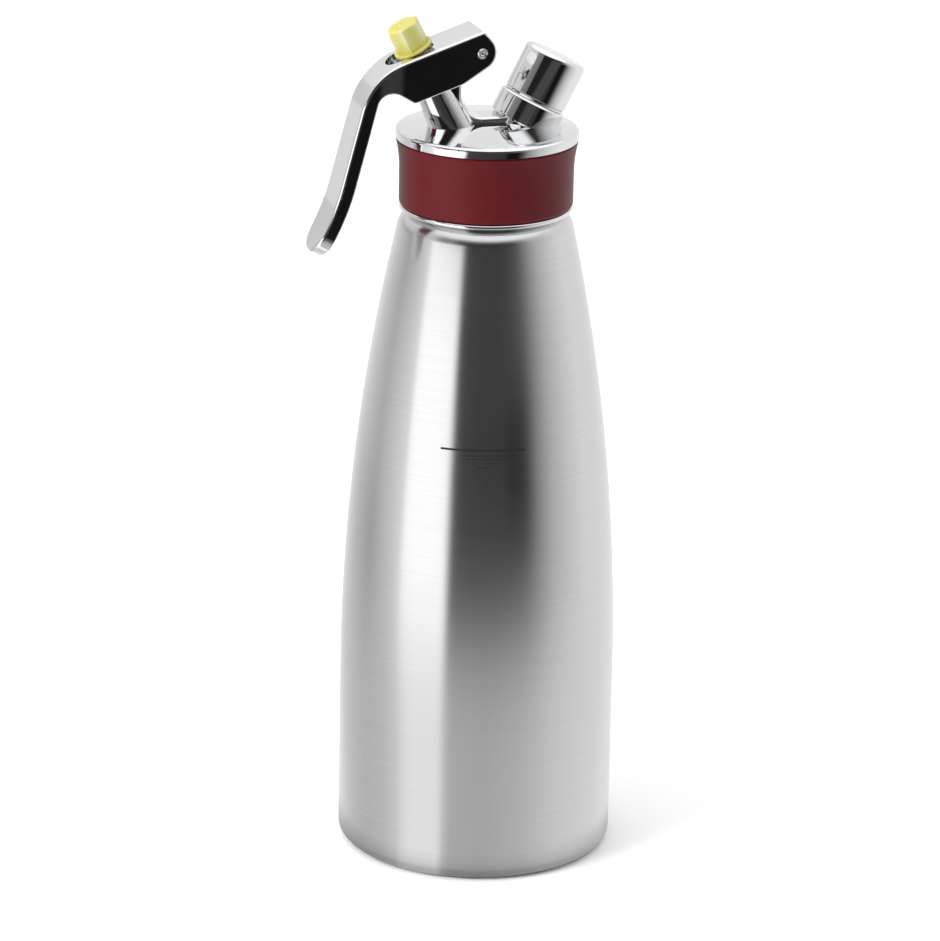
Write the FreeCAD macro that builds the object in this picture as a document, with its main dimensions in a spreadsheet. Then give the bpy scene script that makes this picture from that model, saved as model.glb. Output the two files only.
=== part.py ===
import FreeCAD, Part
import math
import os
import Sketcher
from FreeCAD import Placement, Rotation, Vector

# Whipped cream dispenser: a drawn steel bottle, a cast head that screws on its neck, a lever
# that works the dosing valve, and a charger port under a screw cap.
# Frame: origin in the middle of the bottle's foot, +Z up, the lever's tip towards -X and the
# charger port towards +X, so that the lever swings in the XZ plane.
# The valve and the port lean away from each other. Their axes cross on the bottle's axis, and
# every piece on them is drawn upright with its own z counted from that crossing.

doc = FreeCAD.newDocument("CreamWhipper")

# ---------------------------------------------------------------------------------------------
# Driving dimensions (mm and degrees)
# ---------------------------------------------------------------------------------------------
DIMENSIONS = [
    # bottle
    ("foot_in_r", 36.5), ("foot_out_r", 43.5), ("punt_r", 34.0), ("punt_z", 3.0),
    ("bottle_r", 48.0), ("corner_r", 4.5), ("straight_z", 60.0), ("taper_arc", 745.0),
    ("shoulder_r", 29.7), ("shoulder_z", 226.2), ("shoulder_arc", 3.6),
    ("shoulder_in_r", 26.3), ("shoulder_top_z", 229.0),
    ("neck_r", 24.6), ("neck_root_z", 230.5), ("neck_root_arc", 1.8), ("mouth_z", 250.0),
    ("wall", 1.0),
    # neck thread, shared by bottle and head
    ("neck_pitch", 4.0), ("neck_crest_r", 25.6), ("neck_thread_z", 234.0), ("neck_turns", 2.5),
    ("head_crest_r", 25.0), ("head_thread_z", 232.0), ("head_turns", 3.0),
    # head casting
    ("lip_z", 229.4), ("lip_r", 29.7), ("lip_round", 0.8), ("band_z", 231.1), ("rim_z", 254.1),
    ("groove_r", 27.9), ("skirt_in_r", 26.0), ("seat_z", 250.1), ("seat_r", 25.7),
    ("ceiling_z", 252.5), ("disc_r", 31.3), ("disc_edge_z", 256.7), ("disc_flat_r", 30.0),
    ("disc_z", 258.0), ("disc_round", 1.35), ("disc_bevel", 0.5), ("dome_z", 260.3),
    ("dome_arc", 197.0),
    # the two leaning axes
    ("cross_z", 234.2), ("lean", 27.0),
    # valve neck of the casting
    ("boss_s", 16.8), ("boss_r", 7.2), ("boss_top_s", 24.0), ("valve_foot_r", 8.3),
    ("valve_neck_s", 44.0), ("valve_neck_r", 6.2), ("bore_r", 3.9), ("bore_top_s", 38.0),
    ("spring_bore_r", 5.3), ("collar_room_r", 7.5),
    # web between valve neck and port
    ("web_x", -2.8), ("web_z", 270.4), ("web_in_r", 8.0), ("web_width", 10.0),
    ("web_top_z", 277.5), ("web_end_x", 10.0), ("web_low_z", 256.0), ("web_back_x", -17.0),
    ("web_round", 1.2),
    # pivot arm and pin
    ("pin_x", -5.06), ("pin_z", 285.64), ("pin_r", 1.85), ("pin_over", 0.25), ("dish_r", 0.9),
    ("dish_depth", 0.4), ("eye_r", 3.1), ("arm_width", 13.1),
    ("arm_foot_x", -16.0), ("arm_foot_z", 274.8), ("arm_low_x", -9.6), ("arm_low_z", 277.2),
    ("arm_back_x", -15.4), ("arm_back_z", 283.2),
    # charger port of the casting
    ("port_boss_s", 16.0), ("port_boss_r", 6.0), ("port_neck_s", 24.0), ("port_neck_r", 9.0),
    ("collar_s", 27.3), ("collar_r", 11.8), ("collar_top_s", 36.0), ("collar_bevel", 0.6),
    ("nipple_r", 9.2), ("nipple_s", 46.0), ("nipple_bevel", 1.0),
    ("charger_r", 4.7), ("charger_s", 32.0), ("pin_plug_r", 3.4), ("gas_s", 26.5),
    ("chamber_r", 3.6),
    # port thread, shared by nipple and cap
    ("port_pitch", 2.0), ("nipple_crest_r", 9.85), ("nipple_thread_s", 38.0),
    ("nipple_turns", 3.0), ("cap_crest_r", 9.5), ("cap_thread_s", 37.9), ("cap_turns", 3.5),
    # port cap, its ring and its liner
    ("cap_s", 36.9), ("cap_top_s", 53.7), ("cap_r", 11.0), ("cap_round", 1.9),
    ("cap_bevel", 0.5), ("cap_root_r", 10.1), ("cap_deep_s", 47.9), ("cap_hollow_r", 8.0),
    ("cap_hollow_s", 51.5), ("ring_s", 36.12), ("ring_top_s", 36.85), ("ring_in_r", 10.05),
    ("ring_out_r", 10.8), ("liner_s", 46.3), ("liner_r", 9.2),
    # valve stem
    ("stem_foot_s", 11.4), ("stem_foot_r", 2.0), ("stem_low_s", 16.7), ("stem_low_r", 2.6),
    ("stem_guide_s", 26.5), ("stem_r", 3.84), ("ring_groove_s", 30.0),
    ("ring_groove_top_s", 31.7), ("ring_groove_r", 2.3), ("collar_low_s", 51.3),
    ("press_r", 6.3), ("press_top_s", 55.3), ("press_bevel", 0.3), ("stem_top_r", 3.7),
    ("stem_top_s", 67.2), ("channel_r", 1.5), ("channel_s", 19.0), ("side_hole_r", 1.0),
    ("side_hole_s", 21.0), ("tip_thread_s", 57.6), ("tip_thread_turns", 6.0),
    ("tip_pitch", 1.25), ("tip_crest_r", 4.2),
    # small valve parts
    ("oring_r", 0.74), ("oring_mean_r", 3.05), ("seal_r", 6.0), ("seal_s", 14.3),
    ("seal_top_s", 16.65), ("nut_r", 4.4), ("nut_s", 11.8), ("nut_top_s", 14.25),
    ("spring_s", 38.05), ("spring_top_s", 51.25), ("spring_wire_r", 0.4),
    ("spring_mean_r", 4.6), ("spring_turns", 6.0),
    # yellow valve cap
    ("guard_s", 58.7), ("guard_flange_r", 6.8), ("guard_flange", 0.8),
    ("guard_corner_r", 6.05), ("guard_top_s", 68.4), ("guard_bore_r", 4.4),
    ("guard_bore_s", 67.5), ("guard_turn", 8.0), ("guard_round", 0.7),
    # gas side
    ("needle_r", 1.3), ("needle_s", 39.0), ("needle_hole_r", 0.5), ("needle_tip_r", 0.7),
    ("needle_flange", 1.2), ("needle_flange_r", 4.6), ("port_seal_in_r", 1.5),
    ("port_seal_s", 33.3), ("port_seal_top_s", 35.6), ("check_plug_r", 2.8),
    ("check_plug_s", 23.9), ("check_plug_top_s", 26.4), ("check_spring_s", 18.6),
    ("check_spring_top_s", 23.85), ("check_wire_r", 0.25), ("check_mean_r", 2.1),
    ("check_turns", 5.0), ("check_ring_s", 16.5), ("check_ring_top_s", 18.5),
    ("check_ring_hole_r", 1.2),
    # head gasket and band
    ("gasket_in_r", 22.4), ("gasket_out_r", 25.5), ("gasket_z", 250.2), ("gasket_top_z", 252.4),
    ("band_in_r", 27.9), ("band_low_r", 29.85), ("band_round", 1.3), ("band_flare_z", 243.0),
    ("band_top_r", 31.25), ("band_flare_arc", 45.0),
    # lever
    ("lever_width", 17.8), ("grip_width", 15.5), ("waist_x", -30.5), ("waist_end_x", -42.5),
    ("waist_arc", 31.6), ("lever_slope", 18.7), ("lever_low_slope", 32.5),
    ("end_x", -6.28), ("end_z", 285.88), ("end_r", 6.35), ("end_up", 30.0), ("end_arc", 22.8),
    ("corner_x", -4.6), ("corner_z", 293.21), ("end_round", 0.8),
    ("lever_pin_gap", 0.06), ("channel_width", 13.6),
    ("flange_x", -10.63), ("flange_z", 275.58), ("toe_x", -28.49), ("toe_z", 269.48),
    ("toe_arc", 2.0), ("notch_x", -39.2), ("notch_z", 275.85), ("notch_arc", 5.1),
    ("bend_x", -43.35), ("bend_arc", 24.4), ("grip_out1_x", -52.75), ("grip_out1_z", 244.6),
    ("grip_arc", 80.0), ("tip_out_x", -63.6), ("tip_out_z", 218.9), ("tip_in_x", -59.4),
    ("tip_in_z", 216.7), ("grip_in_arc", 85.0), ("grip_in1_x", -47.75), ("grip_in1_z", 243.9),
    ("tongue_r", 7.3), ("edge_round", 1.1), ("inner_round", 0.5),
    ("top_wall", 2.0), ("hood_x", -5.6), ("hood_end_x", -1.5), ("hood_end_z", 287.0), ("strap_turn", 55.0), ("strap_x", -42.6), ("strap_z", 265.4),
    ("slot_width", 10.0), ("slot_length", 17.6), ("slot_x", -28.3),
]

sheet = doc.addObject("Spreadsheet::Sheet", "Sheet")
for row, (alias, value) in enumerate(DIMENSIONS, start=1):
    sheet.set("A%d" % row, alias)
    sheet.set("B%d" % row, str(value))
    sheet.setAlias("B%d" % row, alias)
doc.recompute()


class Size:
    """A length or angle: its value, and the expression on the sheet that gives it."""

    def __init__(self, value, text):
        self.value = float(value)
        self.text = text

    def __add__(self, other):
        other = as_size(other)
        return Size(self.value + other.value, "(%s + %s)" % (self.text, other.text))

    def __sub__(self, other):
        other = as_size(other)
        return Size(self.value - other.value, "(%s - %s)" % (self.text, other.text))

    def __mul__(self, other):
        other = as_size(other)
        return Size(self.value * other.value, "%s * %s" % (self.text, other.text))

    def __truediv__(self, other):
        other = as_size(other)
        return Size(self.value / other.value, "%s / %s" % (self.text, other.text))

    def __neg__(self):
        return Size(-self.value, "(0 - %s)" % self.text)

    __radd__ = __add__
    __rmul__ = __mul__

    def __rsub__(self, other):
        return as_size(other) - self


def as_size(number):
    """The number as a Size, so that plain numbers mix with sizes of the sheet."""
    if isinstance(number, Size):
        return number
    return Size(number, repr(float(number)))


def sine(angle):
    return Size(math.sin(math.radians(angle.value)), "sin(%s)" % angle.text)


def cosine(angle):
    return Size(math.cos(math.radians(angle.value)), "cos(%s)" % angle.text)


class Table:
    """Every alias of the sheet as an attribute."""


dim = Table()
for alias, _ in DIMENSIONS:
    setattr(dim, alias, Size(sheet.get(alias), "Sheet." + alias))

VALVE, PORT = -1, 1


def leaning(side, along, across):
    """(x, z) of a point on the valve's or the port's axis, across counted towards +X."""
    x = side * along * sine(dim.lean) + across * cosine(dim.lean)
    z = dim.cross_z + along * cosine(dim.lean) - side * across * sine(dim.lean)
    return x, z


# ---------------------------------------------------------------------------------------------
# Sketch and feature helpers
# ---------------------------------------------------------------------------------------------
def new_body(node):
    body = doc.addObject("PartDesign::Body", node)
    body.Label = node
    return body


def origin_plane(body, role):
    for feature in body.Origin.OriginFeatures:
        if feature.Role == role:
            return feature
    raise RuntimeError("no plane " + role)


def new_sketch(body, name, role="XZ_Plane"):
    sketch = body.newObject("Sketcher::SketchObject", name)
    sketch.AttachmentSupport = [(origin_plane(body, role), "")]
    sketch.MapMode = "FlatFace"
    return sketch


def bind(sketch, constraint, size):
    """Adds a driving constraint whose value comes from the sheet."""
    index = sketch.addConstraint(constraint)
    sketch.setExpression("Constraints[%d]" % index, size.text)


def pin_point(sketch, geometry, end, x, y):
    """Holds one end of a sketch edge at (x, y)."""
    if abs(x.value) < 1e-9:
        sketch.addConstraint(Sketcher.Constraint("PointOnObject", geometry, end, -2))
    else:
        bind(sketch, Sketcher.Constraint("DistanceX", -1, 1, geometry, end, x.value), x)
    if abs(y.value) < 1e-9:
        sketch.addConstraint(Sketcher.Constraint("PointOnObject", geometry, end, -1))
    else:
        bind(sketch, Sketcher.Constraint("DistanceY", -1, 1, geometry, end, y.value), y)


def arc_between(start, end, radius):
    """Arc of a positive radius turning left from start to end, or of a negative one turning
    right, and whether it runs backwards in the sketch."""
    chord = end - start
    side = 1 if radius > 0 else -1
    size = abs(radius)
    offset = math.sqrt(max(size ** 2 - (chord.Length / 2) ** 2, 0))
    left = Vector(-chord.y, chord.x, 0).normalize()
    centre = (start + end) * 0.5 + left * (side * offset)
    first, last = (start, end) if side > 0 else (end, start)
    angle1 = math.atan2(first.y - centre.y, first.x - centre.x)
    angle2 = math.atan2(last.y - centre.y, last.x - centre.x)
    arc = Part.ArcOfCircle(Part.Circle(centre, Vector(0, 0, 1), size), angle1, angle2)
    return arc, side < 0


def draw(sketch, points, closed=True):
    """Edges through points, each (x, z) or (x, z, radius) where an arc leaves that point."""
    spots = [tuple(as_size(n) for n in point) for point in points]
    count = len(spots)
    runs = count if closed else count - 1
    first_edge = sketch.GeometryCount
    ends = []
    for i in range(runs):
        here, there = spots[i], spots[(i + 1) % count]
        start = Vector(here[0].value, here[1].value, 0)
        end = Vector(there[0].value, there[1].value, 0)
        if len(here) == 3:
            arc, backwards = arc_between(start, end, here[2].value)
            edge = sketch.addGeometry(arc, False)
            ends.append((edge, 2, 1) if backwards else (edge, 1, 2))
        else:
            edge = sketch.addGeometry(Part.LineSegment(start, end), False)
            ends.append((edge, 1, 2))
    for i in range(runs if closed else runs - 1):
        edge, _, tail = ends[i]
        follower, head, _ = ends[(i + 1) % runs]
        sketch.addConstraint(Sketcher.Constraint("Coincident", edge, tail, follower, head))
    for i in range(count):
        if i < runs:
            pin_point(sketch, ends[i][0], ends[i][1], spots[i][0], spots[i][1])
        else:
            pin_point(sketch, ends[-1][0], ends[-1][2], spots[i][0], spots[i][1])
    for i in range(runs):
        if len(spots[i]) < 3:
            continue
        edge = first_edge + i
        radius = spots[i][2] if spots[i][2].value > 0 else -spots[i][2]
        across = spots[(i + 1) % count][1] - spots[i][1]
        if abs(abs(across.value) - 2 * radius.value) < 1e-6:
            # a half circle is held by its centre, level with its ends
            x = spots[i][0]
            bind(sketch, Sketcher.Constraint("DistanceX", -1, 1, edge, 3, x.value), x)
        else:
            bind(sketch, Sketcher.Constraint("Radius", edge, radius.value), radius)
    return sketch


def circle(sketch, x, y, radius):
    x, y, radius = as_size(x), as_size(y), as_size(radius)
    shape = Part.Circle(Vector(x.value, y.value, 0), Vector(0, 0, 1), radius.value)
    edge = sketch.addGeometry(shape, False)
    pin_point(sketch, edge, 3, x, y)
    bind(sketch, Sketcher.Constraint("Radius", edge, radius.value), radius)


def axis_line(sketch, side):
    """Construction line on the valve's or the port's axis, the sketch's Axis0."""
    start = leaning(side, as_size(0), as_size(0))
    end = leaning(side, as_size(60), as_size(0))
    line = Part.LineSegment(Vector(start[0].value, start[1].value, 0),
                            Vector(end[0].value, end[1].value, 0))
    edge = sketch.addGeometry(line, True)
    pin_point(sketch, edge, 1, as_size(0), start[1])
    pin_point(sketch, edge, 2, end[0], end[1])


def revolve(body, name, points, kind="Revolution", side=None):
    """Turns an outline round the Z axis, or round a leaning axis with points (along, across)."""
    sketch = new_sketch(body, name + "_outline")
    if side is None:
        draw(sketch, points)
        axis = "V_Axis"
    else:
        axis_line(sketch, side)
        draw(sketch, [leaning(side, as_size(p[0]), as_size(p[1])) for p in points])
        axis = "Axis0"
    feature = body.newObject("PartDesign::" + kind, name)
    feature.Profile = sketch
    feature.ReferenceAxis = (sketch, [axis])
    feature.Angle = 360
    return feature


def groove(body, name, points, side=None):
    return revolve(body, name, points, "Groove", side)


def extrude(body, name, sketch, width, kind="Pad"):
    """Pads or pockets a sketch to the same distance on both sides."""
    feature = body.newObject("PartDesign::" + kind, name)
    feature.Profile = sketch
    feature.Midplane = True
    feature.Length = width.value
    feature.setExpression("Length", width.text)
    return feature


def thread(body, name, points, pitch, turns, side=None):
    """Winds a ridge round the body's Z axis, or round a leaning axis with points (along,
    across)."""
    sketch = new_sketch(body, name + "_ridge")
    if side is None:
        draw(sketch, points)
        axis = "V_Axis"
    else:
        axis_line(sketch, side)
        draw(sketch, [leaning(side, as_size(p[1]), as_size(p[0])) for p in points])
        axis = "Axis0"
    feature = body.newObject("PartDesign::AdditiveHelix", name)
    feature.Profile = sketch
    feature.ReferenceAxis = (sketch, [axis])
    feature.Mode = 0
    feature.Pitch = pitch.value
    feature.Height = (pitch * turns).value
    feature.setExpression("Pitch", pitch.text)
    feature.setExpression("Height", (pitch * turns).text)
    feature.LeftHanded = False
    return feature


def ridge(root, crest, foot, pitch, inward=0.3):
    """Outline of a thread ridge from its root to its crest, sunk a little in the wall."""
    sink = -inward if crest.value > root.value else inward
    return [(root + sink, foot), (root + sink, foot + pitch * 0.42),
            (crest, foot + pitch * 0.29), (crest, foot + pitch * 0.13)]


def edges_at(shape, test):
    """Names of the shape's edges whose middle passes the test."""
    names = []
    for number, edge in enumerate(shape.Edges, start=1):
        middle = edge.valueAt((edge.FirstParameter + edge.LastParameter) / 2)
        if test(edge, middle):
            names.append("Edge%d" % number)
    return names


def fillet(body, name, test, radius, kind="Fillet"):
    """Rounds or bevels the edges of the body's tip that pass the test."""
    doc.recompute()
    base = body.Tip
    names = edges_at(base.Shape, test)
    if not names:
        raise RuntimeError("no edge for " + name)
    feature = body.newObject("PartDesign::" + kind, name)
    feature.Base = (base, names)
    key = "Radius" if kind == "Fillet" else "Size"
    setattr(feature, key, radius.value)
    feature.setExpression(key, radius.text)
    doc.recompute()
    return feature


def lean(body, side):
    """Stands an upright body on the valve's or the port's axis."""
    turn = side * dim.lean
    body.Placement = Placement(Vector(0, 0, dim.cross_z.value),
                               Rotation(Vector(0, 1, 0), turn.value))
    body.setExpression("Placement.Base.z", dim.cross_z.text)
    body.setExpression("Placement.Rotation.Angle", turn.text)


def coil(body, name, low, high, mean_r, wire_r, turns):
    """Coil spring between two heights on the body's Z axis, as a swept wire."""
    sketch = new_sketch(body, name + "_wire")
    circle(sketch, mean_r, low + wire_r, wire_r)
    feature = body.newObject("PartDesign::AdditiveHelix", name)
    feature.Profile = sketch
    feature.ReferenceAxis = (sketch, ["V_Axis"])
    feature.Mode = 2
    rise = high - low - 2 * wire_r
    feature.Height = rise.value
    feature.Turns = turns.value
    feature.setExpression("Height", rise.text)
    feature.setExpression("Turns", turns.text)
    return feature


# ---------------------------------------------------------------------------------------------
# Bottle: one drawn shell with a raised foot, a long taper and a rolled neck thread
# ---------------------------------------------------------------------------------------------
bottle = new_body("bottle")
revolve(bottle, "bottle_shell", [
    (0, dim.punt_z),
    (dim.punt_r, dim.punt_z),
    (dim.foot_in_r, 0),
    (dim.foot_out_r, 0, dim.corner_r),
    (dim.bottle_r, dim.corner_r),
    (dim.bottle_r, dim.straight_z, dim.taper_arc),
    (dim.shoulder_r, dim.shoulder_z, dim.shoulder_arc),
    (dim.shoulder_in_r, dim.shoulder_top_z, -dim.neck_root_arc),
    (dim.neck_r, dim.neck_root_z),
    (dim.neck_r, dim.mouth_z),
    (dim.neck_r - dim.wall, dim.mouth_z),
    (dim.neck_r - dim.wall, dim.neck_root_z, dim.neck_root_arc + dim.wall),
    (dim.shoulder_in_r - 0.5 * dim.wall, dim.shoulder_top_z - dim.wall,
     dim.wall - dim.shoulder_arc),
    (dim.shoulder_r - dim.wall, dim.shoulder_z, dim.wall - dim.taper_arc),
    (dim.bottle_r - dim.wall, dim.straight_z),
    (dim.bottle_r - dim.wall, dim.corner_r, dim.wall - dim.corner_r),
    (dim.foot_out_r, dim.wall),
    (dim.foot_in_r + dim.wall * 0.5, dim.wall),
    (dim.punt_r + dim.wall * 0.5, dim.punt_z + dim.wall),
    (0, dim.punt_z + dim.wall),
])
thread(bottle, "neck_thread",
       ridge(dim.neck_r, dim.neck_crest_r, dim.neck_thread_z, dim.neck_pitch),
       dim.neck_pitch, dim.neck_turns)

# ---------------------------------------------------------------------------------------------
# Head casting: domed disc with a threaded skirt, the valve's neck, the pivot arm and the port
# ---------------------------------------------------------------------------------------------
head = new_body("head_casting")
revolve(head, "head_cup", [
    (0, dim.dome_z, -dim.dome_arc),
    (dim.disc_flat_r, dim.disc_z, -dim.disc_round),
    (dim.disc_r, dim.disc_edge_z),
    (dim.disc_r, dim.rim_z + dim.disc_bevel),
    (dim.disc_r - dim.disc_bevel, dim.rim_z),
    (dim.groove_r, dim.rim_z),
    (dim.groove_r, dim.band_z),
    (dim.lip_r - dim.lip_round, dim.band_z, -dim.lip_round),
    (dim.lip_r, dim.band_z - dim.lip_round),
    (dim.lip_r, dim.lip_z + dim.lip_round, -dim.lip_round),
    (dim.lip_r - dim.lip_round, dim.lip_z),
    (dim.skirt_in_r, dim.lip_z),
    (dim.skirt_in_r, dim.seat_z),
    (dim.seat_r, dim.seat_z),
    (dim.seat_r, dim.ceiling_z),
    (0, dim.ceiling_z),
])

# The neck round the valve, with its boss under the ceiling.
revolve(head, "valve_neck", [
    (dim.boss_s, 0), (dim.boss_s, dim.boss_r), (dim.boss_top_s, dim.boss_r),
    (dim.boss_top_s, dim.valve_foot_r), (dim.valve_neck_s, dim.valve_neck_r),
    (dim.valve_neck_s, 0),
], side=VALVE)

# The web, a flat plate from the neck's side down to the disc and on to the port.
web_sketch = new_sketch(head, "web_outline")
draw(web_sketch, [
    (dim.web_back_x, dim.web_low_z),
    (dim.web_end_x, dim.web_low_z),
    (dim.web_end_x, dim.web_z - dim.web_in_r),
    (dim.web_x, dim.web_z - dim.web_in_r, -dim.web_in_r),
    (dim.web_x - dim.web_in_r, dim.web_z),
    (dim.web_x - dim.web_in_r, dim.web_top_z),
    (dim.web_back_x, dim.web_top_z),
])
extrude(head, "web", web_sketch, dim.web_width)


def web_edge(edge, middle):
    """Long edges of the plate along its hollow side and its low ridge."""
    if abs(abs(middle.y) - dim.web_width.value / 2) > 1e-3:
        return False
    dx = middle.x - dim.web_x.value
    dz = middle.z - dim.web_z.value
    on_arc = abs(math.hypot(dx, dz) - dim.web_in_r.value) < 0.01
    return on_arc and dx < 0 and dz < 0


fillet(head, "web_edges", web_edge, dim.web_round)

# The arm that reaches from the neck to the pivot pin, inside the lever's channel.
arm_sketch = new_sketch(head, "arm_outline")
tangent_low = 45.0
tangent_top = 122.0
arm_tip_low = (dim.pin_x + dim.eye_r * math.sin(math.radians(tangent_low)),
               dim.pin_z - dim.eye_r * math.cos(math.radians(tangent_low)))
arm_tip_top = (dim.pin_x + dim.eye_r * math.cos(math.radians(tangent_top)),
               dim.pin_z + dim.eye_r * math.sin(math.radians(tangent_top)))
draw(arm_sketch, [
    (dim.arm_foot_x, dim.arm_foot_z),
    (dim.arm_low_x, dim.arm_low_z),
    (arm_tip_low[0], arm_tip_low[1], dim.eye_r),
    (arm_tip_top[0], arm_tip_top[1]),
    (dim.arm_back_x, dim.arm_back_z),
])
extrude(head, "pivot_arm", arm_sketch, dim.arm_width)

# The charger port: neck, collar and the nipple that carries the thread.
revolve(head, "port", [
    (dim.port_boss_s, 0), (dim.port_boss_s, dim.port_boss_r),
    (dim.port_neck_s, dim.port_boss_r), (dim.port_neck_s, dim.port_neck_r),
    (dim.collar_s, dim.port_neck_r), (dim.collar_s, dim.collar_r - dim.collar_bevel),
    (dim.collar_s + dim.collar_bevel, dim.collar_r),
    (dim.collar_top_s - dim.collar_bevel, dim.collar_r),
    (dim.collar_top_s, dim.collar_r - dim.collar_bevel), (dim.collar_top_s, dim.nipple_r),
    (dim.nipple_s - dim.nipple_bevel, dim.nipple_r),
    (dim.nipple_s, dim.nipple_r - dim.nipple_bevel), (dim.nipple_s, 0),
], side=PORT)

# Bores: the valve's, with room for spring and collar, and the port's, stepped for needle and
# check valve.
groove(head, "valve_bore", [
    (dim.boss_s - 1, 0), (dim.boss_s - 1, dim.bore_r), (dim.bore_top_s, dim.bore_r),
    (dim.bore_top_s, dim.spring_bore_r), (dim.valve_neck_s, dim.spring_bore_r),
    (dim.valve_neck_s, dim.collar_room_r), (dim.valve_neck_s + 20, dim.collar_room_r),
    (dim.valve_neck_s + 20, 0),
], side=VALVE)
groove(head, "port_bore", [
    (dim.port_boss_s - 1, 0), (dim.port_boss_s - 1, dim.chamber_r),
    (dim.gas_s, dim.chamber_r), (dim.gas_s, dim.pin_plug_r), (dim.charger_s, dim.pin_plug_r),
    (dim.charger_s, dim.charger_r), (dim.nipple_s + 1, dim.charger_r), (dim.nipple_s + 1, 0),
], side=PORT)

pin_hole = new_sketch(head, "pin_hole_outline")
circle(pin_hole, dim.pin_x, dim.pin_z, dim.pin_r)
extrude(head, "pin_hole", pin_hole, dim.arm_width + 4, "Pocket")

thread(head, "head_thread",
       ridge(dim.skirt_in_r, dim.head_crest_r, dim.head_thread_z, dim.neck_pitch),
       dim.neck_pitch, dim.head_turns)
thread(head, "nipple_thread",
       ridge(dim.nipple_r, dim.nipple_crest_r, dim.nipple_thread_s, dim.port_pitch),
       dim.port_pitch, dim.nipple_turns, side=PORT)

doc.recompute()

# ---------------------------------------------------------------------------------------------
# Pieces round the bottle's axis: grip band and head gasket
# ---------------------------------------------------------------------------------------------
band = new_body("head_band")
revolve(band, "band", [
    (dim.band_in_r, dim.band_z),
    (dim.band_low_r - dim.band_round, dim.band_z, dim.band_round),
    (dim.band_low_r, dim.band_z + dim.band_round),
    (dim.band_low_r, dim.band_flare_z, -dim.band_flare_arc),
    (dim.band_top_r, dim.rim_z),
    (dim.band_in_r, dim.rim_z),
])

gasket = new_body("head_gasket")
revolve(gasket, "gasket", [
    (dim.gasket_in_r, dim.gasket_z), (dim.gasket_out_r, dim.gasket_z),
    (dim.gasket_out_r, dim.gasket_top_z), (dim.gasket_in_r, dim.gasket_top_z),
])

# ---------------------------------------------------------------------------------------------
# Lever: channel over the arm, strap-like grip, slot for the valve, and its pivot pin
# ---------------------------------------------------------------------------------------------
lever = new_body("lever")
slope = sine(dim.lever_slope) / cosine(dim.lever_slope)
bend_z = dim.corner_z + (dim.bend_x - dim.corner_x) * slope

lever_sketch = new_sketch(lever, "lever_outline")
draw(lever_sketch, [
    (dim.corner_x, dim.corner_z),
    (dim.bend_x, bend_z),
    (dim.grip_out1_x, dim.grip_out1_z, -dim.grip_arc),
    (dim.tip_out_x, dim.tip_out_z),
    (dim.tip_in_x, dim.tip_in_z, dim.grip_in_arc),
    (dim.grip_in1_x, dim.grip_in1_z),
    (dim.notch_x, dim.notch_z),
    (dim.toe_x, dim.toe_z),
    (dim.flange_x, dim.flange_z),
    (dim.end_x + dim.end_r * sine(dim.lever_low_slope),
     dim.end_z - dim.end_r * cosine(dim.lever_low_slope), dim.end_r),
    (dim.end_x + dim.end_r * cosine(dim.end_up), dim.end_z + dim.end_r * sine(dim.end_up),
     dim.end_arc),
])
extrude(lever, "lever_side", lever_sketch, dim.lever_width)

# The waist: seen from above, the sides draw in over the bend to the narrower grip.
waist_sketch = new_sketch(lever, "waist_outline", "XY_Plane")
wide, narrow = dim.lever_width * 0.5, dim.grip_width * 0.5
for side in (1, -1):
    draw(waist_sketch, [
        (dim.waist_x, side * wide, side * dim.waist_arc),
        ((dim.waist_x + dim.waist_end_x) * 0.5, side * 0.5 * (wide + narrow),
         -side * dim.waist_arc),
        (dim.waist_end_x, side * narrow),
        (dim.waist_end_x - 40, side * narrow),
        (dim.waist_end_x - 40, side * (wide + 5)),
        (dim.waist_x, side * (wide + 5)),
    ])
extrude(lever, "waist", waist_sketch, as_size(640), "Pocket")


def corner(x, z):
    """Test for the cross edge of the lever at an outline corner."""
    x, z = as_size(x).value, as_size(z).value

    def test(edge, middle):
        along_y = abs(edge.Vertexes[0].Point.y - edge.Vertexes[-1].Point.y) > 1
        return along_y and abs(middle.x - x) < 0.05 and abs(middle.z - z) < 0.05
    return test


fillet(lever, "bend", corner(dim.bend_x, bend_z), dim.bend_arc)
fillet(lever, "notch", corner(dim.notch_x, dim.notch_z), dim.notch_arc)
fillet(lever, "toe", corner(dim.toe_x, dim.toe_z), dim.toe_arc)


def tongue_edge(edge, middle):
    """The two edges across the grip's thickness at its tip."""
    along_y = abs(edge.Vertexes[0].Point.y - edge.Vertexes[-1].Point.y) > 0.1
    between = dim.tip_in_z.value - 0.1 < middle.z < dim.tip_out_z.value + 0.1
    return not along_y and between and abs(middle.y) > narrow.value - 0.01 and (
        middle.x < dim.tip_in_x.value + 0.1)


fillet(lever, "tongue", tongue_edge, dim.tongue_r)

# The channel under the top wall, open downwards. Its ceiling follows the bend one wall further
# in, and its end clears the arm's eye.
turn_rad = math.radians(dim.lever_slope.value)
grip_lean = math.atan2((dim.bend_x - dim.grip_out1_x).value, (bend_z - dim.grip_out1_z).value)
bend_half = (math.pi / 2 - turn_rad - grip_lean) / 2
bend_reach = dim.bend_arc * math.tan(bend_half)
bend_cx = dim.bend_x + bend_reach * cosine(dim.lever_slope) + dim.bend_arc * sine(dim.lever_slope)
bend_cz = bend_z + bend_reach * sine(dim.lever_slope) - dim.bend_arc * cosine(dim.lever_slope)
in_arc = dim.bend_arc - dim.top_wall
bend_in_x = bend_cx - in_arc * sine(dim.lever_slope)
bend_in_z = bend_cz + in_arc * cosine(dim.lever_slope)
strap_turn = dim.lever_slope + dim.strap_turn
channel_sketch = new_sketch(lever, "channel_outline")
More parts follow.
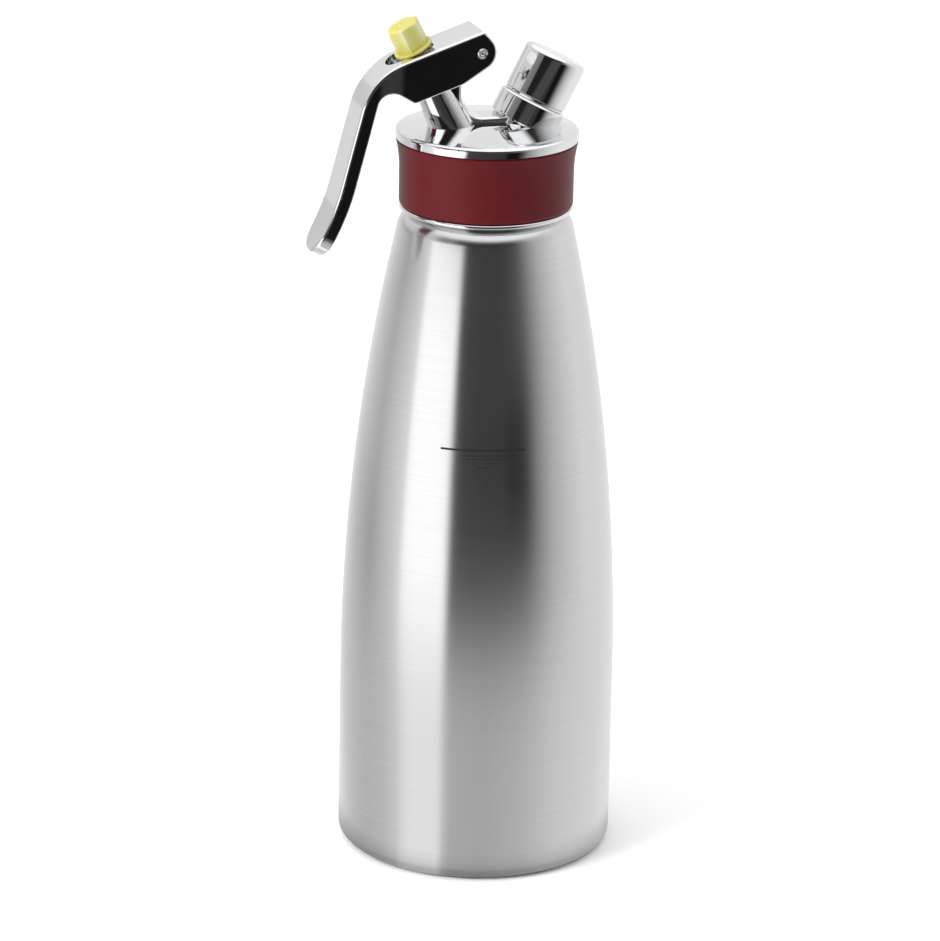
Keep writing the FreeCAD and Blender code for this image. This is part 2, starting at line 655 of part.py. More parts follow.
draw(channel_sketch, [
    (dim.hood_x, bend_in_z + (dim.hood_x - bend_in_x) * slope),
    (bend_in_x, bend_in_z, in_arc),
    (bend_cx - in_arc * sine(strap_turn), bend_cz + in_arc * cosine(strap_turn)),
    (dim.strap_x, dim.strap_z),
    (dim.pin_x - 14, dim.strap_z - 4),
    (dim.hood_end_x, dim.strap_z - 4),
    (dim.hood_end_x, dim.hood_end_z),
])
extrude(lever, "channel", channel_sketch, dim.channel_width, "Pocket")

# The slot for the valve, cut square to the top wall.
slot_sketch = new_sketch(lever, "slot_outline", "XY_Plane")
slot_z = dim.corner_z + (dim.slot_x - dim.corner_x) * slope
slot_sketch.AttachmentOffset = Placement(Vector(dim.slot_x.value, 0, slot_z.value),
                                         Rotation(Vector(0, 1, 0), -dim.lever_slope.value))
slot_sketch.setExpression("AttachmentOffset.Base.x", dim.slot_x.text)
slot_sketch.setExpression("AttachmentOffset.Base.z", slot_z.text)
slot_sketch.setExpression("AttachmentOffset.Rotation.Angle", (-dim.lever_slope).text)
half = dim.slot_width * 0.5
reach = dim.slot_length * 0.5 - half
draw(slot_sketch, [
    (reach, -half, half), (reach, half), (-reach, half, half), (-reach, -half),
])
extrude(lever, "slot", slot_sketch, as_size(16), "Pocket")

lever_holes = new_sketch(lever, "lever_holes_outline")
circle(lever_holes, dim.pin_x, dim.pin_z, dim.pin_r + dim.lever_pin_gap)
extrude(lever, "lever_holes", lever_holes, dim.lever_width + 4, "Pocket")


def top_edge(edge, middle):
    """Long side edges of the top face, from the pin's end to the waist."""
    on_side = abs(abs(middle.y) - wide.value) < 1e-3
    below = dim.corner_z.value + (middle.x - dim.corner_x.value) * slope.value - middle.z
    return on_side and abs(below) < 0.02


def end_edge(edge, middle):
    """Cross edge where the top face turns down to the round end."""
    near = math.hypot(middle.x - dim.corner_x.value, middle.z - dim.corner_z.value) < 0.05
    return near and abs(middle.y) < 0.1


fillet(lever, "edge_round", top_edge, dim.edge_round)
fillet(lever, "end_round", end_edge, dim.end_round)


def flange_edge(edge, middle):
    """Outer side edges of the flanges' lower rim."""
    on_side = abs(abs(middle.y) - wide.value) < 1e-3
    low = (dim.flange_z + dim.toe_z).value / 2
    return on_side and abs(middle.z - low) < 0.4 and abs(
        middle.x - (dim.flange_x + dim.toe_x).value / 2) < 2


fillet(lever, "inner_round", flange_edge, dim.inner_round)

pin = new_body("lever_pin")
half_pin = dim.lever_width * 0.5 + dim.pin_over
pin_sketch = new_sketch(pin, "pin_outline", "XY_Plane")
draw(pin_sketch, [
    (0, dim.dish_depth - half_pin), (dim.dish_r, dim.dish_depth - half_pin),
    (dim.dish_r + 0.2, -half_pin), (dim.pin_r - 0.2, -half_pin), (dim.pin_r, 0.2 - half_pin),
    (dim.pin_r, half_pin - 0.2), (dim.pin_r - 0.2, half_pin), (dim.dish_r + 0.2, half_pin),
    (dim.dish_r, half_pin - dim.dish_depth), (0, half_pin - dim.dish_depth),
])
pin_turn = pin.newObject("PartDesign::Revolution", "pin_turn")
pin_turn.Profile = pin_sketch
pin_turn.ReferenceAxis = (pin_sketch, ["V_Axis"])
pin_turn.Angle = 360
pin.Placement = Placement(Vector(dim.pin_x.value, 0, dim.pin_z.value), Rotation())
pin.setExpression("Placement.Base.x", dim.pin_x.text)
pin.setExpression("Placement.Base.z", dim.pin_z.text)

# ---------------------------------------------------------------------------------------------
# Dosing valve: hollow stem, its seals, nut and spring, and the guard cap over its thread
# ---------------------------------------------------------------------------------------------
stem = new_body("valve_stem")
revolve(stem, "stem", [
    (0, dim.stem_foot_s), (dim.stem_foot_r, dim.stem_foot_s),
    (dim.stem_foot_r, dim.stem_low_s), (dim.stem_low_r, dim.stem_low_s),
    (dim.stem_low_r, dim.stem_guide_s), (dim.stem_r, dim.stem_guide_s),
    (dim.stem_r, dim.ring_groove_s), (dim.ring_groove_r, dim.ring_groove_s),
    (dim.ring_groove_r, dim.ring_groove_top_s), (dim.stem_r, dim.ring_groove_top_s),
    (dim.stem_r, dim.collar_low_s), (dim.press_r, dim.collar_low_s),
    (dim.press_r, dim.press_top_s - dim.press_bevel),
    (dim.press_r - dim.press_bevel, dim.press_top_s), (dim.stem_top_r, dim.press_top_s),
    (dim.stem_top_r, dim.stem_top_s), (dim.channel_r, dim.stem_top_s),
    (dim.channel_r, dim.channel_s), (0, dim.channel_s),
])
thread(stem, "tip_thread",
       ridge(dim.stem_top_r, dim.tip_crest_r, dim.tip_thread_s, dim.tip_pitch),
       dim.tip_pitch, dim.tip_thread_turns)
for name, role in (("side_hole", "XZ_Plane"), ("cross_hole", "YZ_Plane")):
    hole = new_sketch(stem, name + "_outline", role)
    circle(hole, 0, dim.side_hole_s, dim.side_hole_r)
    extrude(stem, name, hole, dim.stem_r * 3, "Pocket")
lean(stem, VALVE)

oring = new_body("valve_o_ring")
oring_sketch = new_sketch(oring, "oring_section")
circle(oring_sketch, dim.oring_mean_r, (dim.ring_groove_s + dim.ring_groove_top_s) * 0.5,
       dim.oring_r)
oring_turn = oring.newObject("PartDesign::Revolution", "oring_turn")
oring_turn.Profile = oring_sketch
oring_turn.ReferenceAxis = (oring_sketch, ["V_Axis"])
oring_turn.Angle = 360
lean(oring, VALVE)

seal = new_body("valve_seal_disc")
revolve(seal, "seal", [
    (dim.stem_foot_r, dim.seal_s), (dim.seal_r, dim.seal_s), (dim.seal_r, dim.seal_top_s),
    (dim.stem_foot_r, dim.seal_top_s),
])
lean(seal, VALVE)

# The nut is a hexagon with the stem's foot as its bore.
nut = new_body("valve_seal_nut")
nut_sketch = new_sketch(nut, "nut_outline", "XY_Plane")
nut_sketch.AttachmentOffset = Placement(Vector(0, 0, dim.nut_s.value), Rotation())
nut_sketch.setExpression("AttachmentOffset.Base.z", dim.nut_s.text)
draw(nut_sketch, [(dim.nut_r * math.cos(math.radians(60 * i)),
                   dim.nut_r * math.sin(math.radians(60 * i))) for i in range(6)])
circle(nut_sketch, 0, 0, dim.stem_foot_r)
nut_pad = nut.newObject("PartDesign::Pad", "nut_pad")
nut_pad.Profile = nut_sketch
nut_pad.Length = (dim.nut_top_s - dim.nut_s).value
nut_pad.setExpression("Length", (dim.nut_top_s - dim.nut_s).text)
lean(nut, VALVE)

valve_spring = new_body("valve_spring")
coil(valve_spring, "valve_coil", dim.spring_s, dim.spring_top_s, dim.spring_mean_r,
     dim.spring_wire_r, dim.spring_turns)
lean(valve_spring, VALVE)

# The guard cap: a hexagon on a thin round flange, open at the bottom.
guard = new_body("valve_guard_cap")
guard_sketch = new_sketch(guard, "guard_outline", "XY_Plane")
guard_sketch.AttachmentOffset = Placement(Vector(0, 0, dim.guard_s.value), Rotation())
guard_sketch.setExpression("AttachmentOffset.Base.z", dim.guard_s.text)
draw(guard_sketch, [
    (dim.guard_corner_r * cosine(dim.guard_turn + 60 * i),
     dim.guard_corner_r * sine(dim.guard_turn + 60 * i)) for i in range(6)])
guard_pad = guard.newObject("PartDesign::Pad", "guard_pad")
guard_pad.Profile = guard_sketch
guard_pad.Length = (dim.guard_top_s - dim.guard_s).value
guard_pad.setExpression("Length", (dim.guard_top_s - dim.guard_s).text)
fillet(guard, "guard_top_round",
       lambda edge, middle: middle.z > dim.guard_top_s.value - 0.01, dim.guard_round)
fillet(guard, "guard_corner_round",
       lambda edge, middle: math.hypot(middle.x, middle.y) > dim.guard_corner_r.value - 0.05
       and abs(edge.Vertexes[0].Point.z - edge.Vertexes[-1].Point.z) > 3, dim.guard_round)
revolve(guard, "guard_flange_disc", [
    (dim.guard_bore_r - 0.5, dim.guard_s), (dim.guard_flange_r, dim.guard_s),
    (dim.guard_flange_r, dim.guard_s + dim.guard_flange),
    (dim.guard_bore_r - 0.5, dim.guard_s + dim.guard_flange),
])
groove(guard, "guard_bore", [
    (0, dim.guard_s - 1), (dim.guard_bore_r, dim.guard_s - 1),
    (dim.guard_bore_r, dim.guard_bore_s), (0, dim.guard_bore_s),
])
lean(guard, VALVE)

# ---------------------------------------------------------------------------------------------
# Charger port: needle, seal, check valve, and the screw cap with its ring and liner
# ---------------------------------------------------------------------------------------------
needle = new_body("piercing_needle")
revolve(needle, "needle", [
    (dim.needle_hole_r, dim.gas_s), (dim.pin_plug_r, dim.gas_s),
    (dim.pin_plug_r, dim.charger_s), (dim.needle_flange_r, dim.charger_s),
    (dim.needle_flange_r, dim.charger_s + dim.needle_flange),
    (dim.needle_r, dim.charger_s + dim.needle_flange), (dim.needle_r, dim.needle_s - 1.5),
    (dim.needle_tip_r, dim.needle_s), (dim.needle_hole_r, dim.needle_s),
])
lean(needle, PORT)

port_seal = new_body("charger_seal")
revolve(port_seal, "port_seal", [
    (dim.port_seal_in_r, dim.port_seal_s), (dim.charger_r, dim.port_seal_s),
    (dim.charger_r, dim.port_seal_top_s), (dim.port_seal_in_r, dim.port_seal_top_s),
])
lean(port_seal, PORT)

check_plug = new_body("check_valve_plug")
revolve(check_plug, "check_plug", [
    (0, dim.check_plug_s), (dim.check_plug_r, dim.check_plug_s),
    (dim.check_plug_r, dim.check_plug_top_s - 0.6),
    (dim.check_plug_r - 0.6, dim.check_plug_top_s), (0, dim.check_plug_top_s),
])
lean(check_plug, PORT)

check_spring = new_body("check_valve_spring")
coil(check_spring, "check_coil", dim.check_spring_s, dim.check_spring_top_s, dim.check_mean_r,
     dim.check_wire_r, dim.check_turns)
lean(check_spring, PORT)

check_ring = new_body("check_valve_retainer")
revolve(check_ring, "check_ring", [
    (dim.check_ring_hole_r, dim.check_ring_s), (dim.chamber_r, dim.check_ring_s),
    (dim.chamber_r, dim.check_ring_top_s), (dim.check_ring_hole_r, dim.check_ring_top_s),
])
lean(check_ring, PORT)

cap = new_body("port_cap")
revolve(cap, "cap_shell", [
    (dim.cap_root_r, dim.cap_s), (dim.cap_r - dim.cap_bevel, dim.cap_s),
    (dim.cap_r, dim.cap_s + dim.cap_bevel),
    (dim.cap_r, dim.cap_top_s - dim.cap_round, dim.cap_round),
    (dim.cap_r - dim.cap_round, dim.cap_top_s), (0, dim.cap_top_s), (0, dim.cap_hollow_s),
    (dim.cap_hollow_r, dim.cap_hollow_s), (dim.cap_hollow_r, dim.cap_deep_s),
    (dim.cap_root_r, dim.cap_deep_s),
])
thread(cap, "cap_thread",
       ridge(dim.cap_root_r, dim.cap_crest_r, dim.cap_thread_s + dim.port_pitch * 0.5,
             dim.port_pitch),
       dim.port_pitch, dim.cap_turns)
lean(cap, PORT)

cap_ring = new_body("port_cap_ring")
revolve(cap_ring, "cap_ring", [
    (dim.ring_in_r, dim.ring_s), (dim.ring_out_r, dim.ring_s),
    (dim.ring_out_r, dim.ring_top_s), (dim.ring_in_r, dim.ring_top_s),
])
lean(cap_ring, PORT)

cap_liner = new_body("port_cap_liner")
revolve(cap_liner, "cap_liner", [
    (0, dim.liner_s), (dim.liner_r, dim.liner_s), (dim.liner_r, dim.cap_deep_s),
    (0, dim.cap_deep_s),
])
lean(cap_liner, PORT)

doc.recompute()

# ---------------------------------------------------------------------------------------------
# Checks and export
# ---------------------------------------------------------------------------------------------
pieces = [bottle, head, band, gasket, lever, pin, stem, oring, seal, nut, valve_spring, guard,
          needle, port_seal, check_plug, check_spring, check_ring, cap, cap_ring, cap_liner]

for item in doc.Objects:
    if "Invalid" in item.State or "Error" in item.State:
        raise RuntimeError("failed: " + item.Name)
for piece in pieces:
    shape = piece.Shape
    if shape.isNull() or not shape.isValid() or len(shape.Solids) != 1:
        raise RuntimeError("bad shape: " + piece.Label)

os.makedirs("parts", exist_ok=True)
for piece in pieces:
    piece.Shape.exportStep("parts/%s.step" % piece.Label)
    print("%-22s %10.1f mm3" % (piece.Label, piece.Shape.Volume))
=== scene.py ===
import math

import bmesh
import bpy
from mathutils import Matrix, Vector


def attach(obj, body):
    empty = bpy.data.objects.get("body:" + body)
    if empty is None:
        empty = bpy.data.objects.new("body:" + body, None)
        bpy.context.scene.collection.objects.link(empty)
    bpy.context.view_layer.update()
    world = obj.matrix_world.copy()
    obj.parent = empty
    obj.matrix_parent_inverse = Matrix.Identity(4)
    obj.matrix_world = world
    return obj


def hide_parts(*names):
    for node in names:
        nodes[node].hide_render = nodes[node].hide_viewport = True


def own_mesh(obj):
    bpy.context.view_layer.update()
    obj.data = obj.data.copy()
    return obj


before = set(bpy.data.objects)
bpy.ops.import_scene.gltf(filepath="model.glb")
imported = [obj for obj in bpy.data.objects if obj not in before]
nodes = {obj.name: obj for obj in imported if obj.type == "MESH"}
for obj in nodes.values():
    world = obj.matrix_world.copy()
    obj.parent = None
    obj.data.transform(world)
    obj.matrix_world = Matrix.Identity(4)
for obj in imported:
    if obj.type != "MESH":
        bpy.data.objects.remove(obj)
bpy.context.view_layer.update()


# --------------------------------------------------------------------------------------------
# Studio floor and camera: a plain pale floor, seen from a little above with a long lens. What
# bright metal mirrors of the floor is a second sheet, which only reflections see.
# --------------------------------------------------------------------------------------------
def camera_at(place, right, up, forward, lens):
    """Camera that stands at a place, with its three axes and its lens in millimetres."""
    data = bpy.data.cameras.new("studio_camera")
    data.lens = lens
    data.sensor_width = 36
    camera = bpy.data.objects.new("studio_camera", data)
    bpy.context.scene.collection.objects.link(camera)
    turn = Matrix((right, up, [-n for n in forward])).transposed()
    camera.matrix_world = Matrix.Translation(place) @ turn.to_4x4()
    bpy.context.scene.camera = camera


camera_at(place=(-0.503756, -1.550402, 0.679517),
          right=(0.95349134, -0.30082195, 0.01898448),
          up=(0.07825678, 0.30788395, 0.94820006),
          forward=(0.29108441, 0.90261489, -0.31710603),
          lens=188.95)

STAGE_WIDTH = 14
MIRROR_HEIGHT = 0.0006


def stage_sheet(name, height):
    """Square sheet of the stage, level, with its middle under the dispenser."""
    form = bmesh.new()
    bmesh.ops.create_grid(form, x_segments=1, y_segments=1, size=STAGE_WIDTH / 2)
    bmesh.ops.translate(form, vec=(0, 0, height), verts=form.verts)
    mesh = bpy.data.meshes.new(name)
    form.to_mesh(mesh)
    form.free()
    sheet = bpy.data.objects.new(name, mesh)
    bpy.context.scene.collection.objects.link(sheet)
    return sheet


def new_material(name, values=None):
    """Material with values for its shader's inputs; gives its tree and its shader too."""
    material = bpy.data.materials.new(name)
    material.use_nodes = True
    tree = material.node_tree
    shader = tree.nodes["Principled BSDF"]
    for key, value in (values or {}).items():
        shader.inputs[key].default_value = value
    return material, tree, shader


def put(tree, kind, sockets=None, **settings):
    """Adds a node with its settings, and values or links for its inputs."""
    node = tree.nodes.new(kind)
    for key, value in settings.items():
        setattr(node, key, value)
    for key, value in (sockets or {}).items():
        if isinstance(value, bpy.types.NodeSocket):
            tree.links.new(value, node.inputs[key])
        else:
            node.inputs[key].default_value = value
    return node


floor = stage_sheet("floor", 0)
paint, tree, shader = new_material("floor_paint", {"Roughness": 0.7,
                                                   "Specular IOR Level": 0.1})
place = put(tree, "ShaderNodeTexCoord").outputs["Object"]
grain = put(tree, "ShaderNodeTexNoise", {"Vector": place, "Scale": 3.0})
tone = put(tree, "ShaderNodeMapRange", {"Value": grain.outputs["Fac"], "To Min": 0.93,
                                        "To Max": 0.95})
tint = put(tree, "ShaderNodeCombineColor", {"Red": tone.outputs[0], "Green": tone.outputs[0],
                                            "Blue": tone.outputs[0]})
tree.links.new(tint.outputs[0], shader.inputs["Base Color"])
floor.data.materials.append(paint)

# Brightness of the room by compass angle, seen from the dispenser: (angle in degrees, half the
# brightness). The key softbox stands at the left front, a black flag at the front, and a wide
# soft light on the right. Higher up the key ends, and near the bottle the floor is lit more
# evenly.
ROOM = [(-180, 0.50), (-177, 0.74), (-172, 0.78), (-138, 0.78), (-132, 0.038), (-108, 0.036),
        (-89, 0.036), (-80, 0.047), (-70, 0.064), (-64, 0.088), (-56, 0.15), (-39, 0.30),
        (-21, 0.40), (0, 0.48), (31, 0.48), (72, 0.47), (95, 0.42), (113, 0.34), (143, 0.22),
        (158, 0.32), (168, 0.38), (180, 0.50)]
ROOM_FAR = [(-180, 0.50), (-177, 0.74), (-172, 0.78), (-138, 0.78), (-132, 0.03),
            (-86, 0.02), (-80, 0.004), (-68, 0.004), (-62, 0.04), (-52, 0.17), (-39, 0.30),
            (-21, 0.40), (0, 0.48), (95, 0.46), (143, 0.30), (180, 0.50)]
ROOM_ABOVE = [(-180, 0.36), (-172, 0.16), (-165, 0.12), (-149, 0.10), (-145, 0.008),
              (-89, 0.008), (-70, 0.02), (-56, 0.15), (-39, 0.30), (0, 0.46), (31, 0.46),
              (72, 0.45), (95, 0.44), (125, 0.42), (158, 0.38), (180, 0.36)]
ROOM_NEAR = [(-180, 0.42), (-175, 0.50), (-166, 0.56), (-140, 0.56), (-134, 0.36),
             (-128, 0.30), (-100, 0.285), (-70, 0.32), (-54, 0.36), (-37, 0.41), (-17, 0.44),
             (6, 0.46), (44, 0.50), (80, 0.46), (100, 0.40), (137, 0.33), (163, 0.35),
             (180, 0.42)]


def calc(tree, operation, *values):
    """Output of one Math node."""
    return put(tree, "ShaderNodeMath", dict(enumerate(values)), operation=operation).outputs[0]


def compass(tree, direction):
    """Compass angle of a direction, from 0 to 1, and its height."""
    parts = put(tree, "ShaderNodeSeparateXYZ", {"Vector": direction})
    angle = calc(tree, "ARCTAN2", parts.outputs["Y"], parts.outputs["X"])
    turn = put(tree, "ShaderNodeMapRange", {"Value": angle, "From Min": -math.pi,
                                            "From Max": math.pi})
    return turn.outputs[0], parts.outputs["Z"]


def room_light(tree, turn, room):
    """Brightness of one level of the room at a compass angle."""
    ramp = put(tree, "ShaderNodeValToRGB", {"Fac": turn})
    stops = ramp.color_ramp.elements
    stops.remove(stops[0])
    for count, (angle, value) in enumerate(room):
        stop = stops[0] if count == 0 else stops.new((angle + 180) / 360)
        stop.position = (angle + 180) / 360
        stop.color = (value, value, value, 1)
    return calc(tree, "MULTIPLY", ramp.outputs["Color"], 2.0)


def fade(tree, value, span, first, second):
    """Passes from one brightness to another while a value runs through a span."""
    amount = put(tree, "ShaderNodeMapRange", {"Value": value, "From Min": span[0],
                                              "From Max": span[1]},
                 interpolation_type="SMOOTHSTEP")
    return put(tree, "ShaderNodeMix", {"Factor": amount.outputs[0], "A": first,
                                       "B": second}).outputs[0]


# The mirrored floor: distances from the dispenser's axis where one level of light gives way to
# the next, in metres, with a shade where the bottle meets the floor.
NEAR_TO_ROOM = (0.16, 0.54)
ROOM_TO_FAR = (0.60, 0.74)
FOOT_SHADE = (0.044, 0.066)
FOOT_LIGHT = 0.5

# Close to the bottle the strips run together around the flag's middle, so that the wall shows
# them upright. The pull falls off with the distance beyond PULL_START.
FLAG_TURN = 0.2
PULL = 0.0285
PULL_START = 0.02
PULL_LEAST = 0.028

mirror_floor = stage_sheet("mirror_floor", MIRROR_HEIGHT)
glow = bpy.data.materials.new("mirror_floor_glow")
glow.use_nodes = True
tree = glow.node_tree
tree.nodes.remove(tree.nodes["Principled BSDF"])
place = put(tree, "ShaderNodeTexCoord").outputs["Object"]
turn = compass(tree, place)[0]
reach = put(tree, "ShaderNodeVectorMath", {0: place}, operation="LENGTH").outputs["Value"]
off = calc(tree, "WRAP", calc(tree, "SUBTRACT", turn, FLAG_TURN), 0.5, -0.5)
beyond = calc(tree, "MAXIMUM", calc(tree, "SUBTRACT", reach, PULL_START), PULL_LEAST)
squeeze = calc(tree, "DIVIDE", PULL, beyond)
wide = calc(tree, "MULTIPLY_ADD", off, squeeze, off)
held = calc(tree, "MINIMUM", calc(tree, "MAXIMUM", wide, -0.5), 0.5)
strip = calc(tree, "FRACT", calc(tree, "ADD", held, FLAG_TURN))
level = fade(tree, reach, NEAR_TO_ROOM, room_light(tree, strip, ROOM_NEAR),
             room_light(tree, strip, ROOM))
level = fade(tree, reach, ROOM_TO_FAR, level, room_light(tree, strip, ROOM_FAR))
foot_shade = fade(tree, reach, FOOT_SHADE, FOOT_LIGHT, 1.0)
emit = put(tree, "ShaderNodeEmission", {"Strength": calc(tree, "MULTIPLY", level, foot_shade)})
tree.links.new(emit.outputs[0], tree.nodes["Material Output"].inputs["Surface"])
mirror_floor.data.materials.append(glow)
for rays in ("camera", "diffuse", "shadow", "transmission"):
    setattr(mirror_floor, "visible_" + rays, False)

# The tent over the set: the same room, closing to an even white overhead. The spans are heights
# of the direction that is looked at, from 0 at the horizon to 1 straight up.
KEY_END = (0.15, 0.23)
CEILING = (0.50, 0.72)
CEILING_LIGHT = 1.25
tent = bpy.data.worlds.new("tent")
tent.use_nodes = True
tree = tent.node_tree
turn, height = compass(tree, put(tree, "ShaderNodeTexCoord").outputs["Generated"])
wall = fade(tree, height, KEY_END, room_light(tree, turn, ROOM),
            room_light(tree, turn, ROOM_ABOVE))
tree.nodes["Background"].inputs["Color"].default_value = (1, 1, 1, 1)
tree.links.new(fade(tree, height, CEILING, wall, CEILING_LIGHT),
               tree.nodes["Background"].inputs["Strength"])
bpy.context.scene.world = tent
bpy.context.scene.view_settings.view_transform = "Standard"


def soft_light(name, place, target, size, power):
    """Softbox aimed at a target; bright metal doesn't mirror it, but the tent alone."""
    data = bpy.data.lights.new(name, "AREA")
    data.shape = "RECTANGLE"
    data.size, data.size_y = size
    data.energy = power
    light = bpy.data.objects.new(name, data)
    light.location = place
    aim = Vector(target) - Vector(place)
    light.rotation_euler = aim.to_track_quat("-Z", "Y").to_euler()
    light.visible_glossy = False
    bpy.context.scene.collection.objects.link(light)


AIM = (0, 0, 0.1)
soft_light("key_light", (-1.75, -0.55, 1.35), AIM, size=(1.0, 1.4), power=36)
soft_light("top_light", (0.2, 0.3, 2.4), AIM, size=(2.2, 2.2), power=10)


# --------------------------------------------------------------------------------------------
# Bottle: drawn steel, spun round its axis, with a raised foot, a long taper and a rolled
# shoulder. The outside is brushed round the body with a fine belt, the neck carries a thread.
# --------------------------------------------------------------------------------------------
MM = 0.001
SAME_POINT = 1e-6
CREASE = math.radians(28)
WINDING_STEPS = 64

# The taper is an arc of this radius, with its centre this far beyond the axis and this high, all
# in millimetres.
TAPER_RADIUS = 745.0
TAPER_BEYOND = 697.02
TAPER_HEIGHT = 62.07


def arc_step(form, last, end, radius, steps):
    """Runs the line on from its last point to the end, round an arc of that radius, positive
    where the line turns left."""
    start = last.co.copy()
    chord = end - start
    half = chord.length / 2
    left = Vector((-chord.z, 0, chord.x)).normalized()
    side = 1 if radius > 0 else -1
    offset = math.sqrt(max(radius ** 2 - half ** 2, 0))
    centre = (start + end) / 2 + left * (side * offset)
    angle = 2 * math.asin(min(half / abs(radius), 1))
    out = bmesh.ops.spin(form, geom=[last], cent=centre, axis=(0, -side, 0), angle=angle,
                         steps=steps, use_merge=False)
    return [part for part in out["geom_last"] if isinstance(part, bmesh.types.BMVert)][0]


def outline(form, points):
    """Line through points (across, up) in millimetres, with a radius and its number of steps
    where an arc leaves a point."""
    last = form.verts.new((points[0][0] * MM, 0, points[0][1] * MM))
    for here, there in zip(points, points[1:]):
        end = Vector((there[0] * MM, 0, there[1] * MM))
        if len(here) == 4:
            last = arc_step(form, last, end, here[2] * MM, here[3])
        else:
            last = bmesh.ops.extrude_vert_indiv(form, verts=[last])["verts"][0]
            last.co = end


def turned(form, points, steps):
    """Turns an outline round the Z axis."""
    fresh = bmesh.new()
    outline(fresh, points)
    bmesh.ops.spin(fresh, geom=fresh.verts[:] + fresh.edges[:], cent=(0, 0, 0),
                   axis=(0, 0, 1), angle=2 * math.pi, steps=steps, use_merge=True)
    bmesh.ops.remove_doubles(fresh, verts=fresh.verts, dist=SAME_POINT)
    bmesh.ops.recalc_face_normals(fresh, faces=fresh.faces)
    join(form, fresh)


def wound(form, points, pitch, turns):
    """Winds a closed thread section up round the Z axis."""
    fresh = bmesh.new()
    outline(fresh, points + points[:1])
    bmesh.ops.remove_doubles(fresh, verts=fresh.verts, dist=SAME_POINT)
    steps = int(WINDING_STEPS * turns)
    ends = [bmesh.ops.contextual_create(fresh, geom=fresh.edges[:])["faces"][0]]
    bmesh.ops.spin(fresh, geom=ends, cent=(0, 0, 0), axis=(0, 0, 1),
                   dvec=(0, 0, pitch * MM * turns / steps), angle=2 * math.pi * turns,
                   steps=steps, use_merge=False)
    bmesh.ops.recalc_face_normals(fresh, faces=fresh.faces)
    join(form, fresh)


def join(form, fresh):
    """Moves one shell into the piece's form."""
    holder = bpy.data.meshes.new("holder")
    fresh.to_mesh(holder)
    fresh.free()
    form.from_mesh(holder)
    bpy.data.meshes.remove(holder)


def piece(name, form, body, finish, replaced=()):
    """Makes a shown piece of the form: smooth faces, with crisp edges where it turns sharply."""
    for face in form.faces:
        face.smooth = True
    for edge in form.edges:
        edge.smooth = len(edge.link_faces) == 2 and edge.calc_face_angle(0) < CREASE
    mesh = bpy.data.meshes.new(name)
    form.to_mesh(mesh)
    form.free()
    mesh.materials.append(finish)
    shown = bpy.data.objects.new(name, mesh)
    bpy.context.scene.collection.objects.link(shown)
    if replaced:
        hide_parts(*replaced)
    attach(shown, body)
    return shown


def handling_group():
    """Soft patches and fine specks from use: a patch mask, a speck mask and a height."""
    group = bpy.data.node_groups.new("handling", "ShaderNodeTree")
    for name, start in (("Patch Scale", 30.0), ("Speck Scale", 1500.0)):
        group.interface.new_socket(name, in_out="INPUT",
                                   socket_type="NodeSocketFloat").default_value = start
    for name in ("Patches", "Specks", "Height"):
        group.interface.new_socket(name, in_out="OUTPUT", socket_type="NodeSocketFloat")
    entry = group.nodes.new("NodeGroupInput")
    leave = group.nodes.new("NodeGroupOutput")
    spot = put(group, "ShaderNodeTexCoord").outputs["Object"]
    patches = put(group, "ShaderNodeTexNoise", {"Vector": spot, "Detail": 5.0,
                                                "Roughness": 0.6})
    group.links.new(entry.outputs["Patch Scale"], patches.inputs["Scale"])
    specks = put(group, "ShaderNodeTexNoise", {"Vector": spot, "Detail": 2.0})
    group.links.new(entry.outputs["Speck Scale"], specks.inputs["Scale"])
    wide = put(group, "ShaderNodeMapRange", {"Value": patches.outputs["Fac"],
                                             "From Min": 0.3, "From Max": 0.7})
    sharp = put(group, "ShaderNodeMapRange", {"Value": specks.outputs["Fac"],
                                              "From Min": 0.35, "From Max": 0.65})
    both = calc(group, "MULTIPLY_ADD", wide.outputs[0], 0.6, sharp.outputs[0])
    for mask, target in ((wide.outputs[0], "Patches"), (sharp.outputs[0], "Specks"),
                         (both, "Height")):
        group.links.new(mask, leave.inputs[target])
    return group


handling = handling_group()


def handled(tree, patch_scale, speck_scale):
    """Adds the signs of use at two scales."""
    node = put(tree, "ShaderNodeGroup", node_tree=handling)
    node.inputs["Patch Scale"].default_value = patch_scale
    node.inputs["Speck Scale"].default_value = speck_scale
    return node


def vary(tree, value, low, high, target):
    """Spreads a mask between two values into a shader's socket."""
    spread = put(tree, "ShaderNodeMapRange", {"Value": value, "To Min": low, "To Max": high})
    tree.links.new(spread.outputs[0], target)


def shade(tree, mask, dark, light, target):
    """Mixes two near colours by a mask into a shader's colour socket."""
    mix = put(tree, "ShaderNodeMix", data_type="RGBA")
    tree.links.new(mask, mix.inputs[0])
    mix.inputs[6].default_value = dark + (1,)
    mix.inputs[7].default_value = light + (1,)
    tree.links.new(mix.outputs[2], target)


def bumped(tree, shader, height, strength, depth):
    """Raises the surface a little by a height, up to a depth in metres."""
    bump = put(tree, "ShaderNodeBump", {"Height": height, "Strength": strength,
                                        "Distance": depth})
    tree.links.new(bump.outputs["Normal"], shader.inputs["Normal"])


